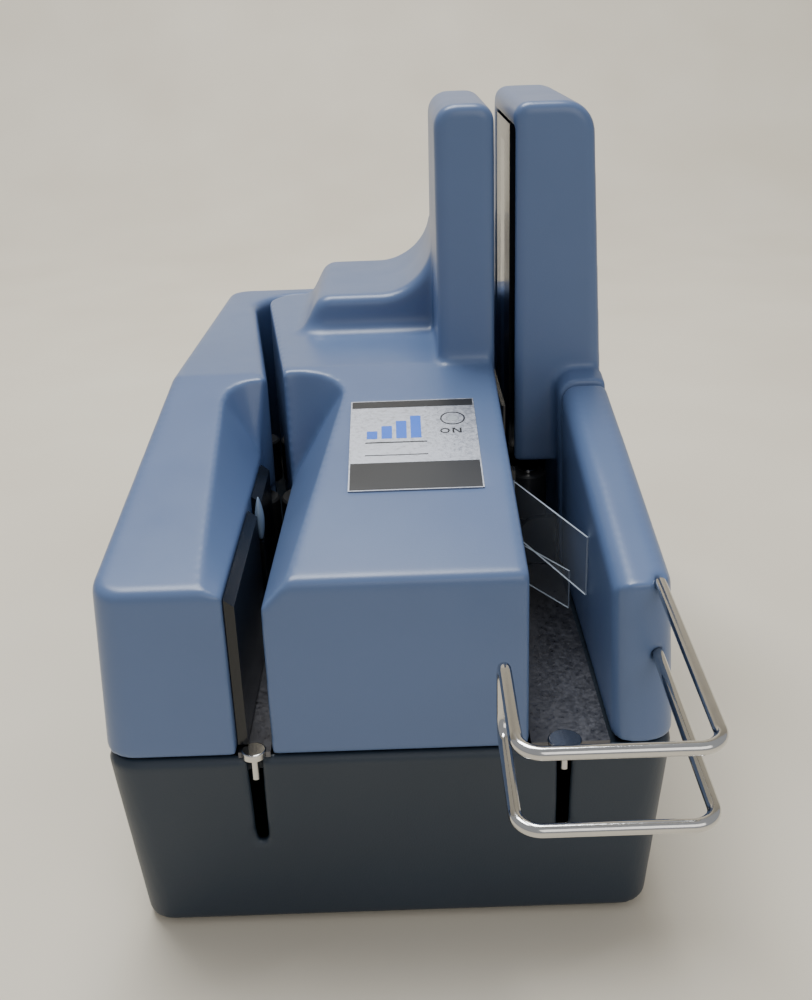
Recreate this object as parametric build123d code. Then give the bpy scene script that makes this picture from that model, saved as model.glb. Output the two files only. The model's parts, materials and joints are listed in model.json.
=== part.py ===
from build123d import *
import os
from math import cos, hypot, radians, sin, tan

os.makedirs("parts", exist_ok=True)

# A cheque scanner. Millimetres, +Z up. Model frame: x = 0 on the case's centre line, y = 0 at the covers'
# front face where it meets the base, z = 0 on the desk. Every solid is moved once, at the end, so that the
# origin lies under the middle of the whole object's box.

# ---------------------------------------------------------------- case
case_width = 140.0          # over the covers at their bottom edge
case_length = 222.0
corner_radius = 8.0
wall = 2.5
left_draft = 2.0            # degrees, how far each side leans inward going up
right_draft = 3.0
left_taper = 8.0            # the left side runs in by this from front to rear
front_lean = 2.6
rear_lean = 2.6
cover_z = 54.0              # bottom edge of all covers
side_gap = 0.3              # idle gap between neighbours
seam = 0.7                  # open seam between the pocket wall and the right cover
fit = 0.05                  # radial running fit

# ---------------------------------------------------------------- base
foot_height = 2.0
foot_radius = 7.0
foot_inset = 14.0           # foot centres, in from the case's sides
base_draft = 4.5
base_rim = 52.0             # top of the tub's outer wall
lip_top = 53.5              # top of the recessed inner lip
lip_inset = 1.4
deck_top = 50.0
deck_thickness = 3.0
post_radius = 4.0
post_inset = 10.5           # the deck's posts, in from the case's sides
screw_radius = 1.5
screw_head_radius = 2.8
screw_head_height = 1.8

# ---------------------------------------------------------------- covers
slope = 11.1                # degrees, the covers' tops rising to the rear
left_front_z = 97.8         # top of each cover at y = 0
centre_front_z = 99.4
left_flat_z = 118.5         # level rear part
centre_flat_z = 120.0
right_flat_z = 119.0
top_radius = 3.0            # rounding along the outer top edges
step_radius = 6.0           # concave foot of the bump
slot_edge_radius = 1.5      # and along the edges beside the slots
blend_radius = 4.0          # where raised parts meet the centre cover's top
left_slot_x = -37.0         # faces beside the entry slot
centre_left_x = -28.3
centre_right_x = 34.1
track_start_y = 93.0        # from here the track runs to the left on its way back
track_angle = 8.0           # degrees
track_width = 4.8
track_neck_y = (96.0, 104.0)            # the slot narrows to the track between these
exit_width = 5.4            # between the two towers
tower_top = 194.0
tower_front_y = 104.5
tower_depth = 54.0
right_tower_depth = 68.0
right_back_lean = 14.0       # and its rear face runs out by this, going down
right_top_radius = 3.0      # rounding round its rear arm's top
tower_left_x = 17.4         # the centre cover's tower
tower_right_x = 34.6
shoulder_z = 151.5          # lower rear part of the centre tower
shoulder_radius = 24.0
tower_back_lean = 14.0      # the centre tower's rear edge runs out by this, going down
bump_front_y = 143.5
bump_left_x = -20.5
bump_top_z = 132.0
bump_flare = 13.0           # its left side runs out by this over bump_foot
bump_foot = 24.0
rear_wall_depth = 14.0      # the opening covers' rear arms
rear_gap = 5.0              # track behind the centre cover
split_x = 1.2               # the two opening covers end this far from the centre line
split_radius = 6.9
recess_top_z = 87.0         # opening low in the right cover's front

# ---------------------------------------------------------------- entry slot and exit pocket
plate_top = 55.0
plate_thickness = 1.5
liner_face_x = -34.3
left_liner_thickness = 2.4
liner_thickness = 1.8
liner_inset = 0.4           # the right cover's liner lies this deep in its face
pocket_wall_width = 15.0
pocket_wall_back_y = 95.6
pocket_lean = 1.6           # the wall's inner face leans out by this over its height
pocket_nose_z = 98.0        # height of the ridge at the nose
pocket_nose_y = 11.0
ridge_radius = 4.8
ridge_depth = 60.0
nose_corner = 5.0
collar = 0.8                # the right cover's stub stands proud of the wall by this
wire_radius = 1.4
wire_bend = 5.0
rack_width = 38.9
rack_front_y = -55.0
rack_upper_z = 91.8         # at the front bars
rack_lower_z = 74.0
rack_left_back_y = -24.0
rack_rise = 3.6             # degrees, the arms rise towards the case

# ---------------------------------------------------------------- transport
roller_radius = 7.2
feed_radius = 8.0
idler_radius = 6.0
separator_radius = 6.5
nip_gap = 0.5
window_clearance = 1.0
roller_z = 66.0             # lower end of the tyres
roller_height = 15.0
shaft_radius = 2.5
bush_radius = 4.5
bush_flange = 6.5
bush_bottom = 41.0
pulley_radius = 6.0
pulley_flange = 7.5
pulley_bottom = 30.0
belt_width = 6.0
belt_thickness = 1.2
pin_radius = 2.0
feed_xy = (-24.5, 98.0)
left_drive_y = 150.0
rear_drive_x = 20.0
exit_drive_y = 112.0
tyre_stand = 0.8            # the driving tyres stand out of the covers' faces by this
motor_xy = (3.0, 45.0)
motor_side = 42.0
motor_boss_radius = 11.0
motor_screw_offset = 15.5
motor_height = 34.0
hinge_top = 106.0
knuckle_height = 12.0
magnet_radius = 4.0
magnet_xy = ((-50.0, 14.0), (58.0, 150.0))

pocket_inner_x = case_width / 2 - pocket_wall_width
recess_right_x = pocket_inner_x - 0.5
rack_right_x = pocket_inner_x + pocket_wall_width * 0.62
rack_left_x = rack_right_x - rack_width
right_slot_x = tower_right_x + exit_width       # the right cover's face on the exit track
liner_top = tower_top - 7.5
rear_gap_back_y = case_length - rear_wall_depth
rear_gap_front_y = rear_gap_back_y - rear_gap
hinge_x = split_x + split_radius + 0.1          # hinge pins, each side of the centre line
hinge_y = case_length - rear_wall_depth / 2 - 1
mid_y = (case_length + rack_front_y - wire_radius) / 2
plate_bottom = plate_top - plate_thickness
frame_bottom = plate_top + 0.2
frame_top = frame_bottom + 2.0
frame_head_z = frame_bottom - 1.15      # screw heads under the frame plates
top_of_everything = tower_top + 20


# ---------------------------------------------------------------- helpers
def slab(outline, low, high):
    """A plan outline as a solid from one height to another."""
    return extrude(Pos(0, 0, low) * outline, high - low, dir=(0, 0, 1))


def block(x0, x1, y0, y1, z0, z1):
    return Pos((x0 + x1) / 2, (y0 + y1) / 2, (z0 + z1) / 2) * Box(x1 - x0, y1 - y0, z1 - z0)


def rod(x, y, radius, low, high):
    return Pos(x, y, (low + high) / 2) * Cylinder(radius, high - low)


def rounded_polygon(points):
    """A closed outline; a third number at a point rounds that corner."""
    face = Polygon(*[(p[0], p[1]) for p in points], align=None)
    for p in points:
        if len(p) == 3:
            corner = face.vertices().sort_by_distance(Vector(p[0], p[1], 0))[0]
            face = fillet(corner, p[2])
    return face


def along_x(section, x0, x1):
    """A section drawn in Y and Z as a solid from x0 to x1."""
    return extrude(Plane.YZ.offset(x0) * section, x1 - x0, dir=(1, 0, 0))


def along_y(section, y0, y1):
    """A section drawn in X and Z as a solid from y0 to y1."""
    return extrude(Plane.XZ.offset(-y0) * section, y1 - y0, dir=(0, 1, 0))


def edges_at(solid, points):
    return [solid.edges().sort_by_distance(Vector(*p))[0] for p in points]


def soften(solid, points, radius):
    return fillet(edges_at(solid, points), radius)


def round_tops(solid, choose, radius):
    """Round those edges of a cover's upward faces whose middles are chosen."""
    tops = [f for f in solid.faces() if f.center().Z > cover_z + 20 and f.normal_at(f.center()).Z > 0.95]
    return fillet([e for f in tops for e in f.edges() if choose(e.center())], radius)


# ---------------------------------------------------------------- case limits
def taper(y):
    return left_taper * y / case_length


def side_left(z, y=0.0):
    return -case_width / 2 + (z - cover_z) * tan(radians(left_draft)) + taper(y)


def track_x(y):
    """The centre cover's face on the left track."""
    return centre_left_x - max(0.0, y - track_start_y) * tan(radians(track_angle))


left_drive_xy = (track_x(left_drive_y) + roller_radius - tyre_stand, left_drive_y)
rear_drive_xy = (rear_drive_x, rear_gap_front_y - roller_radius + tyre_stand - 0.3)
exit_drive_xy = (centre_right_x + 4.9 - roller_radius, exit_drive_y)


def side_right(z):
    return case_width / 2 - (z - cover_z) * tan(radians(right_draft))


def front_face(z):
    return (z - cover_z) * tan(radians(front_lean))


def rear_face(z):
    return case_length - (z - cover_z) * tan(radians(rear_lean))


def tapered_plan(left, right, front, back, radius):
    """Rounded plan whose left side runs in towards the rear."""
    return rounded_polygon([(left + taper(front), front, radius), (right, front, radius), (right, back, radius),
                            (left + taper(back), back, radius)])


def case_section(z, inset):
    plan = tapered_plan(side_left(z) + inset, side_right(z) - inset, front_face(z) + inset, rear_face(z) - inset,
                        corner_radius - inset)
    return Pos(0, 0, z) * plan


def case_envelope(inset):
    low = cover_z if inset == 0 else cover_z - 1
    return loft([case_section(low, inset), case_section(top_of_everything, inset)], ruled=True)


def base_section(z, inset):
    lean = (base_rim - z) * tan(radians(base_draft))
    tip = (base_rim - z) * tan(radians(front_lean))
    side = case_width / 2 - lean - inset
    plan = tapered_plan(-side, side, tip + inset, case_length - tip - inset, corner_radius - inset)
    return Pos(0, 0, z) * plan


def sloped_top(front_z, flat_z, inset):
    """Everything below a cover's sloped top and its level rear part."""
    crease_y = (flat_z - front_z) / tan(radians(slope))
    start = -20.0
    points = [
        (start, 0),
        (start, front_z + start * tan(radians(slope)) - inset),
        (crease_y, flat_z - inset),
        (case_length + 20, flat_z - inset),
        (case_length + 20, 0),
    ]
    return along_x(Polygon(*points, align=None), -case_width, case_width)


# ---------------------------------------------------------------- entry funnel
left_edge_z = 96.5          # where each funnel face meets its slot wall
left_crease_x = (-41.6, -47.6)          # where it meets the sloped top, at the front and the rear station
centre_edge_z = (93.4, 86.0)
centre_crease_x = (-22.4, -8.0)
station_y = (-2.0, 110.0)
left_scoop = (-36.5, 91.0, 10.5, 0.4, 24.0)         # round rear end: centre, radius at scoop_z, growth
centre_scoop = (-25.5, 87.0, 15.0, 0.257, 36.0)     # per height, and depth
scoop_z = 118.0


def funnel_section(slot, crease, side, inset):
    """The space over a funnel's face at one station; side is -1 where the face climbs to -X."""
    dx = crease[0] - slot[0]
    dz = crease[1] - slot[1]
    x = slot[0] + side * dz / hypot(dx, dz) * inset
    z = slot[1] - abs(dx) / hypot(dx, dz) * inset
    far = -side * case_width
    return Polygon((x - dx, z - dz), (x + 2 * dx, z + 2 * dz), (far, z + 2 * dz), (far, z - dz), align=None)


def funnel_cut(slots, creases, side, scoop, inset):
    """Ruled face between the slot's edge and the crease, ended by a conical scoop."""
    sections = [Plane.XZ.offset(-y) * funnel_section(slot, crease, side, inset)
                for y, slot, crease in zip(station_y, slots, creases)]
    x, y, radius, growth, depth = scoop
    cone = Cone(radius - depth * growth + inset, radius + depth * growth + inset, 2 * depth)
    reach = Pos(x, y, scoop_z) * cone
    reach += block(-case_width, case_width, -30, y, 0, scoop_z + depth)
    return loft(sections, ruled=True) & reach


def left_funnel_cut(inset):
    slots = [(left_slot_x, left_edge_z)] * 2
    creases = [(x, left_front_z + y * tan(radians(slope))) for x, y in zip(left_crease_x, station_y)]
    return funnel_cut(slots, creases, -1, left_scoop, inset)


def centre_funnel_cut(inset):
    slots = [(centre_left_x, z) for z in centre_edge_z]
    creases = [(x, centre_top(y)) for x, y in zip(centre_crease_x, station_y)]
    return funnel_cut(slots, creases, 1, centre_scoop, inset)


# ---------------------------------------------------------------- wheels' windows
def window(xy, radius):
    return rod(*xy, radius + window_clearance, deck_top - 1, roller_z + roller_height + 1.5)


def idler_centres():
    """Each idler faces its drive roller across the track."""
    gap = nip_gap + idler_radius
    left = (left_drive_xy[0] - roller_radius - gap, left_drive_xy[1])
    rear = (rear_drive_xy[0], rear_drive_xy[1] + roller_radius + gap)
    out = (exit_drive_xy[0] + roller_radius + gap, exit_drive_xy[1])
    return {"left": left, "rear": rear, "exit": out}


idlers = idler_centres()
separator_xy = (feed_xy[0] - feed_radius - nip_gap - separator_radius, feed_xy[1])


# ---------------------------------------------------------------- base pieces
def deck_posts():
    y0 = foot_inset + 14
    x = case_width / 2 - post_inset
    ys = (y0, case_length / 2, case_length - y0)
    return [(-x + taper(y), y) for y in ys] + [(x, y) for y in ys]


def foot_centres():
    x = case_width / 2 - foot_inset
    ys = (foot_inset, case_length - foot_inset)
    return [(-x + taper(y), y) for y in ys] + [(x, y) for y in ys]


board_bottom = 8.0
board_thickness = 1.6
board_x = (-47.0, 50.0)
board_y = (22.0, 212.0)
jack_size = (9.0, 15.0, 11.0)
jack_x = -30.0
socket_size = (12.0, 16.0, 11.0)
socket_x = -6.0
port_face_y = case_length - 1.2


def board_posts():
    inset = 5.0
    xs = (board_x[0] + inset, board_x[1] - inset)
    ys = (board_y[0] + inset, board_y[1] - inset)
    return [(x, y) for x in xs for y in ys]


studs = ((-32.8, 3.0), (42.7, 4.1))     # place and radius of each front stud
stud_y = 1.2
stud_thickness = 1.8
stud_proud = 0.4            # above the floor plate
stem_radius = 1.0
stem_bottom = 47.0
slot_top_width = 3.7
slot_bottom_width = 2.7
slot_bottom_z = 27.0


def front_slot(x):
    top = slot_top_width / 2
    low = slot_bottom_width / 2
    high = lip_top + 5
    points = [(x - low, slot_bottom_z, 1.2), (x - top, high), (x + top, high), (x + low, slot_bottom_z, 1.2)]
    return along_y(rounded_polygon(points), -3, wall + 4)


def base_tub():
    outside = loft([base_section(foot_height, 0), base_section(base_rim, 0)], ruled=True)
    lip = loft([base_section(foot_height, lip_inset), base_section(lip_top, lip_inset)], ruled=True)
    floor = foot_height + wall
    inside = loft([base_section(floor, wall), base_section(lip_top + 1, wall)], ruled=True)
    tub = outside + lip - inside
    for x, y in deck_posts():
        tub += rod(x, y, post_radius, floor, deck_top - deck_thickness)
    for x, y in board_posts():
        tub += rod(x, y, post_radius, floor, board_bottom)
    for x, y in deck_posts():
        tub -= rod(x, y, screw_radius, -1, deck_top)
        tub -= rod(x, y, screw_head_radius + 0.3, -1, foot_height + screw_head_height)
    for x, _ in studs:
        tub -= front_slot(x)
    low = board_bottom + board_thickness
    for x, size in ((jack_x, jack_size), (socket_x, socket_size)):
        half = size[0] / 2 + side_gap
        tub -= block(x - half, x + half, case_length - 12, case_length + 2,
                     low - side_gap, low + size[2] + side_gap)
    return tub


def rubber_feet():
    return Part() + [rod(x, y, foot_radius, 0, foot_height) for x, y in foot_centres()]


def shaft_places():
    return {"feed": feed_xy, "left_drive": left_drive_xy, "rear_drive": rear_drive_xy, "exit_drive": exit_drive_xy}


def rail_boxes():
    """Raised rails of the deck that carry the two steel floor plates."""
    x_pairs = ((left_slot_x + 1.2, left_slot_x + 3.2), (centre_left_x - 3.2, centre_left_x - 1.2),
               (centre_right_x + 1.2, centre_right_x + 3.2), (52.0, 54.0))
    return [block(a, b, 6, floor_step_y - 2, deck_top, plate_bottom) for a, b in x_pairs]


def pin_places():
    return {"left": (-hinge_x, hinge_y), "right": (hinge_x, hinge_y)}


def deck():
    low = deck_top - deck_thickness
    plate = slab(Pos(0, 0, -low) * base_section(low, wall + side_gap), low, deck_top)
    for rail in rail_boxes():
        plate += rail
    for x, y in magnet_xy:
        plate += rod(x, y, magnet_radius + 1.5, low, deck_top + 1.5)
        plate -= rod(x, y, magnet_radius, deck_top - 1, deck_top + 2)
    for x, y in shaft_places().values():
        plate -= rod(x, y, bush_radius, low - 1, deck_top + 1)
    for x, y in pin_places().values():
        plate += rod(x, y, pin_radius + 2, low - 6, low)
        plate -= rod(x, y, pin_radius, low - 7, deck_top + 1)
    plate -= rod(*motor_xy, motor_boss_radius + 0.2, low - 1, deck_top + 1)
    for x, y in motor_screw_places():
        plate -= rod(x, y, screw_radius, low - 1, deck_top + 1)
    for x, y in cover_posts() + wall_posts():
        plate -= rod(x, y, screw_radius, low - 1, deck_top + 1)
    for x, y in deck_posts():
        plate -= rod(x, y, screw_radius, low - 1, deck_top - 1)
    for x, radius in studs:
        plate -= rod(x, stud_y, radius + 1, low - 1, deck_top + 1)
    return plate


def screws(places, head_z, tip_z):
    """Screws driven upward; the head's lower face is at head_z."""
    out = Part()
    for x, y in places:
        out += rod(x, y, screw_head_radius, head_z, head_z + screw_head_height)
        out += rod(x, y, screw_radius, head_z + screw_head_height, tip_z)
    return out


def front_studs():
    out = Part()
    top = plate_top + stud_proud
    for x, radius in studs:
        disc = rod(x, stud_y, radius, top - stud_thickness, top)
        disc = fillet(disc.edges().group_by(Axis.Z)[-1], 0.4)
        out += disc + rod(x, stud_y, stem_radius, stem_bottom, top - stud_thickness)
    return out


floor_front_gap = 0.4
floor_step_y = 77.5         # behind this the pocket floor is narrower, beside the flaps' bracket


def floor_plate(x0, x1, y1, stud):
    plate = block(x0, x1, front_face(plate_top) + floor_front_gap, y1, plate_bottom, plate_top)
    return plate - rod(stud[0], stud_y, stud[1] + fit, plate_bottom - 1, plate_top + 1)


def pocket_floor():
    right = pocket_inner_x - 1.4
    plate = floor_plate(centre_right_x + floor_front_gap, right, floor_step_y, studs[1])
    narrow = block(upper_flap_root[0] + 2, right, floor_step_y, cheek_y[0] - 0.4, plate_bottom, plate_top)
    return plate + narrow


# ---------------------------------------------------------------- centre cover
tower_outer_radius = 6.0
tower_inner_radius = 5.0
bump_blend = 18.0


def centre_plan(inset):
    points = [
        (centre_left_x + inset, -10),
        (centre_left_x + inset, track_start_y),
        (track_x(rear_gap_front_y) + inset, rear_gap_front_y - inset, 12 - inset),
        (centre_right_x - inset, rear_gap_front_y - inset, 12 - inset),
        (centre_right_x - inset, -10),
    ]
    return rounded_polygon(points)


def tower_side(inset):
    """The tower seen from the side: leaning back edge, then a lower shoulder with a round rear corner."""
    back = tower_front_y + tower_depth - inset
    return rounded_polygon([
        (tower_front_y + inset, cover_z),
        (tower_front_y + inset, tower_top - inset),
        (back, tower_top - inset),
        (back + tower_back_lean, shoulder_z - inset, 6),
        (rear_gap_front_y - inset, shoulder_z - inset, shoulder_radius - inset),
        (rear_gap_front_y - inset, cover_z),
    ])


def centre_tower(inset):
    tower = along_x(tower_side(inset), tower_left_x + inset, tower_right_x - inset)
    tower = soften(tower, [(tower_left_x + inset, tower_front_y + 20, tower_top - inset)], tower_outer_radius - inset)
    tower = soften(tower, [(tower_right_x - inset, tower_front_y + 20, tower_top - inset)], tower_inner_radius - inset)
    if inset == 0:
        front = tower.faces().sort_by_distance(Vector(25, tower_front_y, 150))[0]
        tower = fillet([e for e in front.edges() if e.center().Z > tower_top - 10], top_radius)
    return tower


def bump(inset):
    section = rounded_polygon([
        (bump_left_x - bump_flare + inset, bump_top_z - bump_foot),
        (bump_left_x + inset, bump_top_z - inset, 6 - inset),
        (tower_left_x + inset, bump_top_z - inset, bump_blend),
        (tower_left_x + inset, shoulder_z - inset),
        (tower_left_x + inset + 4, shoulder_z - inset),
        (tower_left_x + inset + 4, centre_flat_z - 12),
    ])
    body = along_y(section, bump_front_y + inset, rear_gap_front_y - 1.0 - inset)
    return body & along_x(tower_side(inset), -case_width, case_width)


def centre_body(inset):
    low = cover_z if inset == 0 else cover_z - 1
    body = slab(centre_plan(inset), low, top_of_everything) & case_envelope(inset)
    body = body & sloped_top(centre_front_z, centre_flat_z, inset)
    return body - centre_funnel_cut(inset)


def centre_outside(inset):
    return centre_body(inset) + centre_tower(inset) + bump(inset)


def centre_top(y):
    return centre_front_z + y * tan(radians(slope))


def tower_cove():
    """Concave blend between the sloped top and the tower's front face."""
    y = tower_front_y - blend_radius
    z = centre_top(y) + blend_radius / cos(radians(slope))
    foot_y = y + blend_radius * sin(radians(slope))
    sunk = 0.4
    section = Polygon((foot_y, centre_top(foot_y) - sunk), (tower_front_y + sunk, centre_top(tower_front_y) - sunk),
                      (tower_front_y + sunk, z), (y, z), align=None)
    section -= Pos(y, z) * Circle(blend_radius)
    return along_x(section, tower_left_x + slot_edge_radius, tower_right_x - slot_edge_radius)


def centre_rounded():
    body = centre_body(0)
    body = soften(body, [(0, front_face(centre_front_z), centre_top(2))], top_radius)
    body = soften(body, [(centre_right_x, 50, centre_top(50))], slot_edge_radius)
    body = body + centre_tower(0) + bump(0) + tower_cove()
    body = soften(body, [(bump_left_x + 11, bump_front_y, bump_top_z)], blend_radius)
    return soften(body, [(0, bump_front_y, centre_flat_z)], step_radius)


def cover_posts():
    return [(-20.0, 12.0), (26.0, 12.0), (26.0, 150.0), (-26.0, 176.0)]


def drive_windows():
    cut = Part()
    for name in ("left_drive", "rear_drive", "exit_drive"):
        cut += window(shaft_places()[name], roller_radius)
    return cut


hood_window_y = (84.0, 112.0)
hood_window_top = 84.0


def centre_cover():
    outside = centre_rounded()
    shell = outside - centre_outside(wall)
    for x, y in cover_posts():
        post = rod(x, y, post_radius, deck_top, top_of_everything)
        post = post & (outside + block(-case_width, case_width, 0, case_length, deck_top, cover_z + 1))
        shell += post
        shell -= rod(x, y, screw_radius, deck_top - 1, deck_top + 12)
    shell -= drive_windows()
    shell -= block(-45, centre_left_x + 6, *hood_window_y, cover_z - 1, hood_window_top)
    shell -= block(centre_left_x - 10, centre_left_x, head_y[0] - 1, head_y[1] + 1, cover_z - 1, head_top + 1)
    half = camera_depth / 2 + side_gap
    shell -= block(tower_right_x - wall - 1, tower_right_x + 2, camera_y - half, camera_y + half,
                   cover_z - 1, camera_top + side_gap)
    shell -= label_pocket()
    shell -= light_hole(0.02)
    return shell


# ---------------------------------------------------------------- label plate on the centre cover's slope
label_width = 34.8
label_length = 45.8
label_centre_x = 8.9
label_centre_y = 59.9
label_thickness = 0.6
light_offset = (11.0, 12.0)
light_radius = 1.6


def on_slope(lift=0.0):
    z = centre_front_z + label_centre_y * tan(radians(slope))
    return Pos(label_centre_x, label_centre_y, z) * Rot(slope, 0, 0) * Pos(0, 0, lift)


def label_pocket():
    return on_slope(-label_thickness / 4) * Box(label_width, label_length, label_thickness / 2)


def label_plate():
    plate = on_slope(0) * Box(label_width, label_length, label_thickness)
    hole = on_slope() * Pos(light_offset[0], light_offset[1], 0) * Cylinder(light_radius, 10)
    return plate - hole


def light_hole(clearance):
    return on_slope() * Pos(light_offset[0], light_offset[1], -5) * Cylinder(light_radius + clearance, 12)


def light_pipe():
    pipe = on_slope() * Pos(light_offset[0], light_offset[1], -2.85) * Cylinder(light_radius, 6.5)
    return fillet(pipe.edges().sort_by(Axis.Z)[-1], 0.3)


# ---------------------------------------------------------------- left cover
def left_plan(inset):
    rear = rear_gap_back_y + inset
    points = [
        (left_slot_x - inset, -10),
        (left_slot_x - inset, track_neck_y[0]),
        (track_x(track_neck_y[1]) - track_width - inset, track_neck_y[1]),
        (track_x(rear) - track_width - inset, rear, 16.5 + inset),
        (-split_x - inset, rear, split_radius - inset),
        (-split_x - inset, case_length + 0.1 - inset, split_radius - inset),
        (-100, case_length + 0.1 - inset),
        (-100, -10),
    ]
    return rounded_polygon(points)


def left_outside(inset):
    low = cover_z if inset == 0 else cover_z - 1
    body = slab(left_plan(inset), low, top_of_everything) & case_envelope(inset)
    body = body & sloped_top(left_front_z, left_flat_z, inset)
    return body - left_funnel_cut(inset)


def left_posts():
    return [(side_left(cover_z, y) + 12, y) for y in (24.0, 120.0, 185.0)]


def knuckles(x):
    lows = (cover_z, hinge_top - knuckle_height)
    return [rod(x, hinge_y, pin_radius + 3, low, low + knuckle_height) for low in lows]


pusher_xy = (-50.0, 34.0)
pusher_arm_z = (63.0, 66.0)
tip_xy = (-34.55, 60.0)
tip_z = (84.0, 97.0)
pusher_thickness = 1.5
tip_thickness = 2.6


def left_rounded():
    def rim(p):
        outer = p.X < side_left(p.Z) + 8 or p.Y < front_face(p.Z) + 4
        return outer or p.Y > left_scoop[1] + 22

    return round_tops(left_outside(0), rim, top_radius)


def left_cover():
    outside = left_rounded()
    shell = outside - left_outside(wall)
    for x, y in left_posts():
        shell += rod(x, y, post_radius, frame_top, top_of_everything) & outside
        shell -= rod(x, y, screw_radius, frame_top - 1, frame_top + 12)
    for boss in knuckles(-hinge_x):
        shell += boss
    shell -= rod(-hinge_x, hinge_y, pin_radius + fit, cover_z - 1, hinge_top + 1)
    shell -= window(idlers["left"], idler_radius)
    shell -= window(separator_xy, separator_radius)
    shell -= block(left_slot_x - wall - 1, left_slot_x + 1, tip_xy[1] - 18, tip_xy[1] + 5,
                   pusher_arm_z[0] - 1, pusher_arm_z[1] + 1)
    return shell


def frame_plate(outside, pins, posts, magnet, hinge_side):
    """Steel plate in an opening cover, with ears for the wheel pins and a pad over the latch magnet."""
    half = block(-100, 100, -10, case_length, frame_bottom, frame_top)
    plate = outside(wall + 0.2) & half
    reach = outside(side_gap) & half
    for xy in pins:
        plate += rod(*xy, pin_radius + 2.5, frame_bottom, frame_top) & reach
    plate += rod(*magnet, magnet_radius, cover_z + 0.1, frame_bottom)
    plate -= rod(hinge_side, hinge_y, pin_radius + 3.2, frame_bottom - 1, frame_top + 1)
    for xy in posts:
        plate -= rod(*xy, screw_radius, frame_bottom - 1, frame_top + 1)
        plate -= rod(*xy, screw_head_radius + 0.1, frame_bottom - 1, frame_head_z + screw_head_height)
    for xy in pins:
        plate -= rod(*xy, pin_radius, frame_bottom - 1, frame_top + 1)
    return plate


def left_frame():
    pins = (idlers["left"], separator_xy, pusher_xy)
    return frame_plate(left_outside, pins, left_posts(), magnet_xy[0], -hinge_x)


def wheel_pin(xy, top):
    """A headed pin standing in a frame plate."""
    return rod(*xy, pin_radius, frame_bottom, top) + rod(*xy, pin_radius + 1.2, top, top + 1)


def idler(xy, radius):
    wheel = rod(*xy, radius, roller_z, roller_z + roller_height)
    wheel = chamfer(wheel.edges().filter_by(GeomType.CIRCLE), 0.6)
    hub = rod(*xy, pin_radius + 1.4, frame_top + 0.3, roller_z)
    return wheel + hub - rod(*xy, pin_radius + fit, frame_top - 1, roller_z + roller_height + 1)


def left_liner():
    x0 = liner_face_x - left_liner_thickness
    plate = block(x0, liner_face_x, 2.8, 88.0, plate_top + stud_proud + 0.3, left_edge_z + 8)
    plate = plate & along_y(Polygon((x0 - 9, 0), (x0 - 9, left_edge_z + 6), (liner_face_x + 4, left_edge_z - 6),
                                    (liner_face_x + 4, 0), align=None), 0, 100)
    plate -= block(x0 - 1, liner_face_x + 1, tip_xy[1] - 6, tip_xy[1] + 3.4, pusher_arm_z[0] - 1.5, 120)
    plate -= block(x0 - 1, liner_face_x + 1, tip_xy[1] - 12, tip_xy[1], pusher_arm_z[0] - 1.5, pusher_arm_z[1] + 1.5)
    for y in (14.0, 80.0):
        plate += block(left_slot_x, x0, y - 2, y + 2, 70, 88)
    return plate


# ---------------------------------------------------------------- pusher
def pusher():
    x, y = tip_xy
    post = block(x - pusher_thickness / 2, x + pusher_thickness / 2, y - 2, y + 2, pusher_arm_z[0], tip_z[0])
    arm = Polyline((pusher_xy[0], pusher_xy[1]), (x - 6, y - 9), (x, y - 0.5))
    arm = trace(arm, 3.0)
    bar = slab(arm, pusher_arm_z[0], pusher_arm_z[1])
    hub = rod(*pusher_xy, pin_radius + 2, pusher_arm_z[0], pusher_arm_z[1] + 8)
    body = hub + bar + post
    return body - rod(*pusher_xy, pin_radius + fit, 50, 90)


def pusher_tip():
    x, y = tip_xy
    low, high = tip_z
    mid = (low + high) / 2
    half = [(0.4, high), (2.6, mid), (2.0, low)]
    side = [(y - w, z) for w, z in half] + [(y + w, z) for w, z in reversed(half)]
    return along_x(Polygon(*side, align=None), x - tip_thickness / 2, x + tip_thickness / 2)


def spring_coil(xy, radius, wire, low, turns, pitch):
    coil = Helix(pitch, turns * pitch, radius)
    start = coil @ 0
    ring = Plane(origin=start, z_dir=coil % 0) * Circle(wire)
    return Pos(xy[0], xy[1], low) * sweep(ring, path=coil)


# ---------------------------------------------------------------- right cover
def right_plan(inset):
    rear = rear_gap_back_y + inset
    points = [
        (right_slot_x + inset, tower_front_y + inset),
        (right_slot_x + inset, rear, 17 + inset),
        (split_x + inset, rear, split_radius - inset),
        (split_x + inset, case_length + 0.1 - inset, split_radius - inset),
        (100, case_length + 0.1 - inset),
        (100, tower_front_y + inset),
    ]
    return rounded_polygon(points)


def right_outside(inset):
    low = cover_z if inset == 0 else cover_z - 1
    back = tower_front_y + right_tower_depth - inset
    side = [
        (tower_front_y - 1, 0),
        (tower_front_y - 1, tower_top - inset),
        (back, tower_top - inset),
        (back + right_back_lean, right_flat_z - inset),
        (case_length + 20, right_flat_z - inset),
        (case_length + 20, 0),
    ]
    body = slab(right_plan(inset), low, top_of_everything) & case_envelope(inset)
    body = body & along_x(rounded_polygon(side), 0, case_width)
    outer_top = (side_right(tower_top) - inset, tower_front_y + 25, tower_top - inset)
    body = soften(body, [outer_top], 9 - inset)
    return soften(body, [(right_slot_x + inset, tower_front_y + 25, tower_top - inset)], 4 - inset)


def right_posts():
    x = case_width / 2 - 13.0
    return [(x, tower_front_y + 23.5), (x, rear_gap_back_y - 18.0)]


camera_bottom = 60.0
camera_top = tower_top - 14.0
camera_y = tower_front_y + 25.5
camera_depth = 14.0
rear_camera_y = tower_front_y + 41.5


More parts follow.
